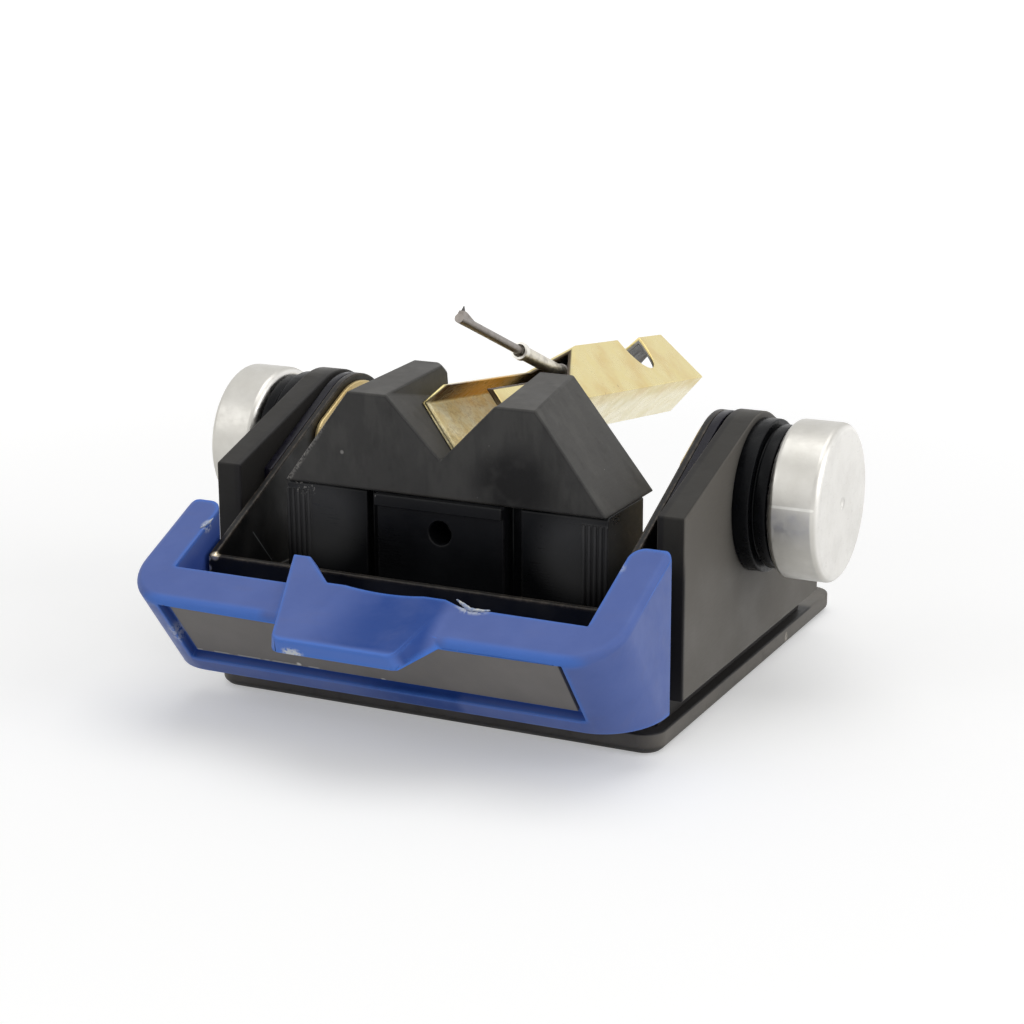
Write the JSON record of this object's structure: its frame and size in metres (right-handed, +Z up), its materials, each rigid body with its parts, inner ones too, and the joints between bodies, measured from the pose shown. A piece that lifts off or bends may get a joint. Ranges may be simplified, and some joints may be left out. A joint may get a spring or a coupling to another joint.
{
  "type": "turntable stylus",
  "caption": "Record player stylus in a carrier: square brass shank and cantilever on a V-notched grip, in a tray that tilts between ears with thumb knobs, and a blue finger-lift handle.",
  "frame": {"origin": "centre of the base plate's flat underside", "axes": "+Z up towards the stylus tip, -Y towards the front handle, +Y towards the shank's tail, X along the pivot line"},
  "size_m": [0.028, 0.0332, 0.0163],
  "materials": {
    "black_plate": "matte moulded",
    "black_frame": "matte moulded",
    "blue_plastic": "satin moulded",
    "label_grey": "matte",
    "collar_black": "satin",
    "tray_sheet": "black, worn at the edges",
    "pivot_plate_black": "satin",
    "brass": "plain",
    "steel": "turned",
    "knob_aluminium": "satin turned",
    "holder_black": "gloss moulded",
    "grip_black": "matte moulded",
    "shank_brass": "bright, scuffed",
    "rubber": "matte",
    "cantilever_metal": "dull",
    "tip": "polished",
    "magnet": "plain"
  },
  "bodies": {
    "carrier": {"base_plate": "black_plate", "frame": "black_frame", "front_handle": "blue_plastic", "label_plate": "label_grey", "left_collar": "collar_black", "right_collar": "collar_black"},
    "cradle": {"cradle_tray": "tray_sheet", "left_pivot_plate": "pivot_plate_black", "right_pivot_plate": "pivot_plate_black", "left_brass_cheek": "brass", "right_brass_cheek": "brass", "left_pivot_pin": "steel", "right_pivot_pin": "steel", "left_knob": "knob_aluminium", "right_knob": "knob_aluminium", "block_holder": "holder_black", "stylus_grip": "grip_black", "shank_tube": "shank_brass"},
    "bearing": {"bearing_ring": "rubber"},
    "cantilever": {"cantilever_sleeve": "cantilever_metal", "damper_collar": "rubber", "cantilever_tube": "cantilever_metal", "stylus_tip": "tip", "magnet": "magnet"}
  },
  "joints": [
    {"name": "cradle_tilt", "type": "hinge", "parent": "carrier", "child": "cradle", "pos_m": [0, -0.0011, 0.0083], "axis": [-1, 0, 0], "range_deg": [0, 12]},
    {"name": "stylus_lift", "type": "hinge", "parent": "cradle", "child": "bearing", "pos_m": [0, 0.00455, 0.01079], "axis": [-1, 0, 0], "range_deg": [-2, 2], "stiffness_Nm_per_rad": 0.007},
    {"name": "stylus_sway", "type": "hinge", "parent": "bearing", "child": "cantilever", "pos_m": [0, 0.00455, 0.01079], "axis": [0, 0.3891, 0.9212], "range_deg": [-2, 2], "stiffness_Nm_per_rad": 0.007}
  ]
}
